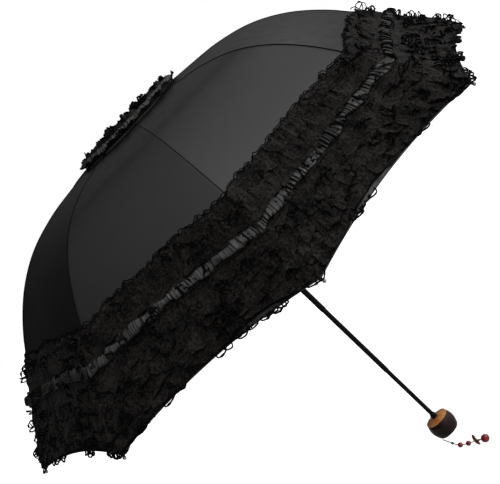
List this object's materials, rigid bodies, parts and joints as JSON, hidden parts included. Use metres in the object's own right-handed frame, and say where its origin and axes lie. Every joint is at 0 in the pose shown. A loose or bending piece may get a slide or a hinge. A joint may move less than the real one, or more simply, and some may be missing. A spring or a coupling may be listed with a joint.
{
  "type": "lace parasol",
  "caption": "Open folding dome parasol with black satin gores, a gathered lace and ribbon flounce, a telescoping shaft and a barrel knob with a bead charm.",
  "frame": {"origin": "centre of the knob's flat end", "axes": "+Z along the shaft from the knob to the crown, +X through the first rib"},
  "size_m": [0.865, 0.865, 0.7164],
  "materials": {
    "satin": "satin",
    "lace": "matte",
    "ribbon": "satin",
    "black_tube": "gloss",
    "rib_steel": "gloss",
    "tip_metal": "polished",
    "black_plastic": "satin",
    "knob_brown": "gloss",
    "knob_amber": "gloss",
    "cord": "matte",
    "red_bead": "gloss",
    "copper": "satin",
    "berry": "gloss"
  },
  "bodies": {
    "handle": {"knob_body": "knob_brown", "knob_top_plate": "knob_amber", "knob_collar": "black_plastic", "handle_tube": "black_tube"},
    "tube_3": {"tube_3": "black_tube"},
    "tube_2": {"tube_2": "black_tube"},
    "top_tube": {"top_tube": "black_tube", "top_notch": "black_plastic", "notch_wire": "rib_steel", "crown_cap": "black_plastic", "canopy_cover": "satin", "lace_flounce": "lace", "ribbon_strip": "ribbon", "crown_ruffle": "lace"},
    "runner": {"runner": "black_plastic"},
    "runner_catch": {"runner_catch": "black_plastic"},
    "charm": {"charm_cord": "cord", "charm_beads": "red_bead"},
    "charm_end": {"charm_flower": "copper", "charm_berry": "berry"},
    "top_rib_1": {"top_rib_1": "rib_steel"},
    "stretcher_1": {"stretcher_1": "rib_steel"},
    "middle_rib_1": {"middle_rib_1": "rib_steel"},
    "tail_rib_1": {"tail_rib_1": "rib_steel", "rib_tip_1": "tip_metal"},
    "top_rib_2": {"top_rib_2": "rib_steel"},
    "stretcher_2": {"stretcher_2": "rib_steel"},
    "middle_rib_2": {"middle_rib_2": "rib_steel"},
    "tail_rib_2": {"tail_rib_2": "rib_steel", "rib_tip_2": "tip_metal"},
    "top_rib_3": {"top_rib_3": "rib_steel"},
    "stretcher_3": {"stretcher_3": "rib_steel"},
    "middle_rib_3": {"middle_rib_3": "rib_steel"},
    "tail_rib_3": {"tail_rib_3": "rib_steel", "rib_tip_3": "tip_metal"},
    "top_rib_4": {"top_rib_4": "rib_steel"},
    "stretcher_4": {"stretcher_4": "rib_steel"},
    "middle_rib_4": {"middle_rib_4": "rib_steel"},
    "tail_rib_4": {"tail_rib_4": "rib_steel", "rib_tip_4": "tip_metal"},
    "top_rib_5": {"top_rib_5": "rib_steel"},
    "stretcher_5": {"stretcher_5": "rib_steel"},
    "middle_rib_5": {"middle_rib_5": "rib_steel"},
    "tail_rib_5": {"tail_rib_5": "rib_steel", "rib_tip_5": "tip_metal"},
    "top_rib_6": {"top_rib_6": "rib_steel"},
    "stretcher_6": {"stretcher_6": "rib_steel"},
    "middle_rib_6": {"middle_rib_6": "rib_steel"},
    "tail_rib_6": {"tail_rib_6": "rib_steel", "rib_tip_6": "tip_metal"},
    "top_rib_7": {"top_rib_7": "rib_steel"},
    "stretcher_7": {"stretcher_7": "rib_steel"},
    "middle_rib_7": {"middle_rib_7": "rib_steel"},
    "tail_rib_7": {"tail_rib_7": "rib_steel", "rib_tip_7": "tip_metal"},
    "top_rib_8": {"top_rib_8": "rib_steel"},
    "stretcher_8": {"stretcher_8": "rib_steel"},
    "middle_rib_8": {"middle_rib_8": "rib_steel"},
    "tail_rib_8": {"tail_rib_8": "rib_steel", "rib_tip_8": "tip_metal"}
  },
  "joints": [
    {"name": "tube_3_slide", "type": "slide", "parent": "handle", "child": "tube_3", "axis": [0, 0, -1], "range_m": [0, 0.09]},
    {"name": "tube_2_slide", "type": "slide", "parent": "tube_3", "child": "tube_2", "axis": [0, 0, -1], "range_m": [0, 0.126]},
    {"name": "top_tube_slide", "type": "slide", "parent": "tube_2", "child": "top_tube", "axis": [0, 0, -1], "range_m": [0, 0.136]},
    {"name": "canopy_fold", "type": "hinge", "parent": "top_tube", "child": "top_rib_1", "pos_m": [0.009, 0, 0.6346], "axis": [0, 1, 0], "range_deg": [0, 86], "deforming": ["canopy_cover", "lace_flounce", "ribbon_strip", "crown_ruffle"]},
    {"name": "stretcher_1_hinge", "type": "hinge", "parent": "top_rib_1", "child": "stretcher_1", "pos_m": [0.08892, 0, 0.63111], "axis": [0, -1, 0], "range_deg": [0, 144.52]},
    {"name": "middle_rib_1_hinge", "type": "hinge", "parent": "top_rib_1", "child": "middle_rib_1", "pos_m": [0.14958, 0, 0.63096], "axis": [0, -1, 0], "range_deg": [0, 192.48]},
    {"name": "tail_rib_1_hinge", "type": "hinge", "parent": "middle_rib_1", "child": "tail_rib_1", "pos_m": [0.26998, 0, 0.57576], "axis": [0, 1, 0], "range_deg": [0, 150.18]},
    {"name": "top_rib_2_hinge", "type": "hinge", "parent": "top_tube", "child": "top_rib_2", "pos_m": [0.00636, 0.00636, 0.6346], "axis": [-0.7071, 0.7071, 0], "range_deg": [0, 86.01]},
    {"name": "stretcher_2_hinge", "type": "hinge", "parent": "top_rib_2", "child": "stretcher_2", "pos_m": [0.06288, 0.06288, 0.63111], "axis": [0.7071, -0.7071, 0], "range_deg": [0, 144.52]},
    {"name": "middle_rib_2_hinge", "type": "hinge", "parent": "top_rib_2", "child": "middle_rib_2", "pos_m": [0.10577, 0.10577, 0.63096], "axis": [0.7071, -0.7071, 0], "range_deg": [0, 192.48]},
    {"name": "tail_rib_2_hinge", "type": "hinge", "parent": "middle_rib_2", "child": "tail_rib_2", "pos_m": [0.1909, 0.1909, 0.57576], "axis": [-0.7071, 0.7071, 0], "range_deg": [0, 150.18]},
    {"name": "top_rib_3_hinge", "type": "hinge", "parent": "top_tube", "child": "top_rib_3", "pos_m": [0, 0.009, 0.6346], "axis": [-1, 0, 0], "range_deg": [0, 86.01]},
    {"name": "stretcher_3_hinge", "type": "hinge", "parent": "top_rib_3", "child": "stretcher_3", "pos_m": [0, 0.08892, 0.63111], "axis": [1, 0, 0], "range_deg": [0, 144.52]},
    {"name": "middle_rib_3_hinge", "type": "hinge", "parent": "top_rib_3", "child": "middle_rib_3", "pos_m": [0, 0.14958, 0.63096], "axis": [1, 0, 0], "range_deg": [0, 192.48]},
    {"name": "tail_rib_3_hinge", "type": "hinge", "parent": "middle_rib_3", "child": "tail_rib_3", "pos_m": [0, 0.26998, 0.57576], "axis": [-1, 0, 0], "range_deg": [0, 150.18]},
    {"name": "top_rib_4_hinge", "type": "hinge", "parent": "top_tube", "child": "top_rib_4", "pos_m": [-0.00636, 0.00636, 0.6346], "axis": [-0.7071, -0.7071, 0], "range_deg": [0, 86.01]},
    {"name": "stretcher_4_hinge", "type": "hinge", "parent": "top_rib_4", "child": "stretcher_4", "pos_m": [-0.06288, 0.06288, 0.63111], "axis": [0.7071, 0.7071, 0], "range_deg": [0, 144.52]},
    {"name": "middle_rib_4_hinge", "type": "hinge", "parent": "top_rib_4", "child": "middle_rib_4", "pos_m": [-0.10577, 0.10577, 0.63096], "axis": [0.7071, 0.7071, 0], "range_deg": [0, 192.48]},
    {"name": "tail_rib_4_hinge", "type": "hinge", "parent": "middle_rib_4", "child": "tail_rib_4", "pos_m": [-0.1909, 0.1909, 0.57576], "axis": [-0.7071, -0.7071, 0], "range_deg": [0, 150.18]},
    {"name": "top_rib_5_hinge", "type": "hinge", "parent": "top_tube", "child": "top_rib_5", "pos_m": [-0.009, 0, 0.6346], "axis": [0, -1, 0], "range_deg": [0, 86.01]},
    {"name": "stretcher_5_hinge", "type": "hinge", "parent": "top_rib_5", "child": "stretcher_5", "pos_m": [-0.08892, 0, 0.63111], "axis": [0, 1, 0], "range_deg": [0, 144.52]},
    {"name": "middle_rib_5_hinge", "type": "hinge", "parent": "top_rib_5", "child": "middle_rib_5", "pos_m": [-0.14958, 0, 0.63096], "axis": [0, 1, 0], "range_deg": [0, 192.48]},
    {"name": "tail_rib_5_hinge", "type": "hinge", "parent": "middle_rib_5", "child": "tail_rib_5", "pos_m": [-0.26998, 0, 0.57576], "axis": [0, -1, 0], "range_deg": [0, 150.18]},
    {"name": "top_rib_6_hinge", "type": "hinge", "parent": "top_tube", "child": "top_rib_6", "pos_m": [-0.00636, -0.00636, 0.6346], "axis": [0.7071, -0.7071, 0], "range_deg": [0, 86.01]},
    {"name": "stretcher_6_hinge", "type": "hinge", "parent": "top_rib_6", "child": "stretcher_6", "pos_m": [-0.06288, -0.06288, 0.63111], "axis": [-0.7071, 0.7071, 0], "range_deg": [0, 144.52]},
    {"name": "middle_rib_6_hinge", "type": "hinge", "parent": "top_rib_6", "child": "middle_rib_6", "pos_m": [-0.10577, -0.10577, 0.63096], "axis": [-0.7071, 0.7071, 0], "range_deg": [0, 192.48]},
    {"name": "tail_rib_6_hinge", "type": "hinge", "parent": "middle_rib_6", "child": "tail_rib_6", "pos_m": [-0.1909, -0.1909, 0.57576], "axis": [0.7071, -0.7071, 0], "range_deg": [0, 150.18]},
    {"name": "top_rib_7_hinge", "type": "hinge", "parent": "top_tube", "child": "top_rib_7", "pos_m": [0, -0.009, 0.6346], "axis": [1, 0, 0], "range_deg": [0, 86.01]},
    {"name": "stretcher_7_hinge", "type": "hinge", "parent": "top_rib_7", "child": "stretcher_7", "pos_m": [0, -0.08892, 0.63111], "axis": [-1, 0, 0], "range_deg": [0, 144.52]},
    {"name": "middle_rib_7_hinge", "type": "hinge", "parent": "top_rib_7", "child": "middle_rib_7", "pos_m": [0, -0.14958, 0.63096], "axis": [-1, 0, 0], "range_deg": [0, 192.48]},
    {"name": "tail_rib_7_hinge", "type": "hinge", "parent": "middle_rib_7", "child": "tail_rib_7", "pos_m": [0, -0.26998, 0.57576], "axis": [1, 0, 0], "range_deg": [0, 150.18]},
    {"name": "top_rib_8_hinge", "type": "hinge", "parent": "top_tube", "child": "top_rib_8", "pos_m": [0.00636, -0.00636, 0.6346], "axis": [0.7071, 0.7071, 0], "range_deg": [0, 86.01]},
    {"name": "stretcher_8_hinge", "type": "hinge", "parent": "top_rib_8", "child": "stretcher_8", "pos_m": [0.06288, -0.06288, 0.63111], "axis": [-0.7071, -0.7071, 0], "range_deg": [0, 144.52]},
    {"name": "middle_rib_8_hinge", "type": "hinge", "parent": "top_rib_8", "child": "middle_rib_8", "pos_m": [0.10577, -0.10577, 0.63096], "axis": [-0.7071, -0.7071, 0], "range_deg": [0, 192.48]},
    {"name": "tail_rib_8_hinge", "type": "hinge", "parent": "middle_rib_8", "child": "tail_rib_8", "pos_m": [0.1909, -0.1909, 0.57576], "axis": [0.7071, 0.7071, 0], "range_deg": [0, 150.18]},
    {"name": "runner_slide", "type": "slide", "parent": "top_tube", "child": "runner", "axis": [0, 0, -1], "range_m": [0, 0.12243]},
    {"name": "runner_catch_press", "type": "hinge", "parent": "runner", "child": "runner_catch", "pos_m": [0.00721, 0.00298, 0.5499], "axis": [-0.3827, 0.9239, 0], "range_deg": [0, 4]},
    {"name": "charm_swing", "type": "hinge", "parent": "handle", "child": "charm", "pos_m": [-0.0166, 0, -0.0026], "axis": [0, 1, 0], "range_deg": [-5, 70]},
    {"name": "charm_end_swing", "type": "hinge", "parent": "charm", "child": "charm_end", "pos_m": [0.0127, 0, -0.0398], "axis": [0, 1, 0], "range_deg": [-15, 25]}
  ],
  "couplings": [
    {"joint": "stretcher_1_hinge", "follows": "canopy_fold", "ratio": 1.6803},
    {"joint": "middle_rib_1_hinge", "follows": "canopy_fold", "ratio": 2.238},
    {"joint": "tail_rib_1_hinge", "follows": "canopy_fold", "ratio": 1.7462},
    {"joint": "top_rib_2_hinge", "follows": "canopy_fold", "ratio": 1},
    {"joint": "stretcher_2_hinge", "follows": "canopy_fold", "ratio": 1.6803},
    {"joint": "middle_rib_2_hinge", "follows": "canopy_fold", "ratio": 2.238},
    {"joint": "tail_rib_2_hinge", "follows": "canopy_fold", "ratio": 1.7462},
    {"joint": "top_rib_3_hinge", "follows": "canopy_fold", "ratio": 1},
    {"joint": "stretcher_3_hinge", "follows": "canopy_fold", "ratio": 1.6803},
    {"joint": "middle_rib_3_hinge", "follows": "canopy_fold", "ratio": 2.238},
    {"joint": "tail_rib_3_hinge", "follows": "canopy_fold", "ratio": 1.7462},
    {"joint": "top_rib_4_hinge", "follows": "canopy_fold", "ratio": 1},
    {"joint": "stretcher_4_hinge", "follows": "canopy_fold", "ratio": 1.6803},
    {"joint": "middle_rib_4_hinge", "follows": "canopy_fold", "ratio": 2.238},
    {"joint": "tail_rib_4_hinge", "follows": "canopy_fold", "ratio": 1.7462},
    {"joint": "top_rib_5_hinge", "follows": "canopy_fold", "ratio": 1},
    {"joint": "stretcher_5_hinge", "follows": "canopy_fold", "ratio": 1.6803},
    {"joint": "middle_rib_5_hinge", "follows": "canopy_fold", "ratio": 2.238},
    {"joint": "tail_rib_5_hinge", "follows": "canopy_fold", "ratio": 1.7462},
    {"joint": "top_rib_6_hinge", "follows": "canopy_fold", "ratio": 1},
    {"joint": "stretcher_6_hinge", "follows": "canopy_fold", "ratio": 1.6803},
    {"joint": "middle_rib_6_hinge", "follows": "canopy_fold", "ratio": 2.238},
    {"joint": "tail_rib_6_hinge", "follows": "canopy_fold", "ratio": 1.7462},
    {"joint": "top_rib_7_hinge", "follows": "canopy_fold", "ratio": 1},
    {"joint": "stretcher_7_hinge", "follows": "canopy_fold", "ratio": 1.6803},
    {"joint": "middle_rib_7_hinge", "follows": "canopy_fold", "ratio": 2.238},
    {"joint": "tail_rib_7_hinge", "follows": "canopy_fold", "ratio": 1.7462},
    {"joint": "top_rib_8_hinge", "follows": "canopy_fold", "ratio": 1},
    {"joint": "stretcher_8_hinge", "follows": "canopy_fold", "ratio": 1.6803},
    {"joint": "middle_rib_8_hinge", "follows": "canopy_fold", "ratio": 2.238},
    {"joint": "tail_rib_8_hinge", "follows": "canopy_fold", "ratio": 1.7462},
    {"joint": "runner_slide", "follows": "canopy_fold", "m_per_rad": 0.08156}
  ]
}
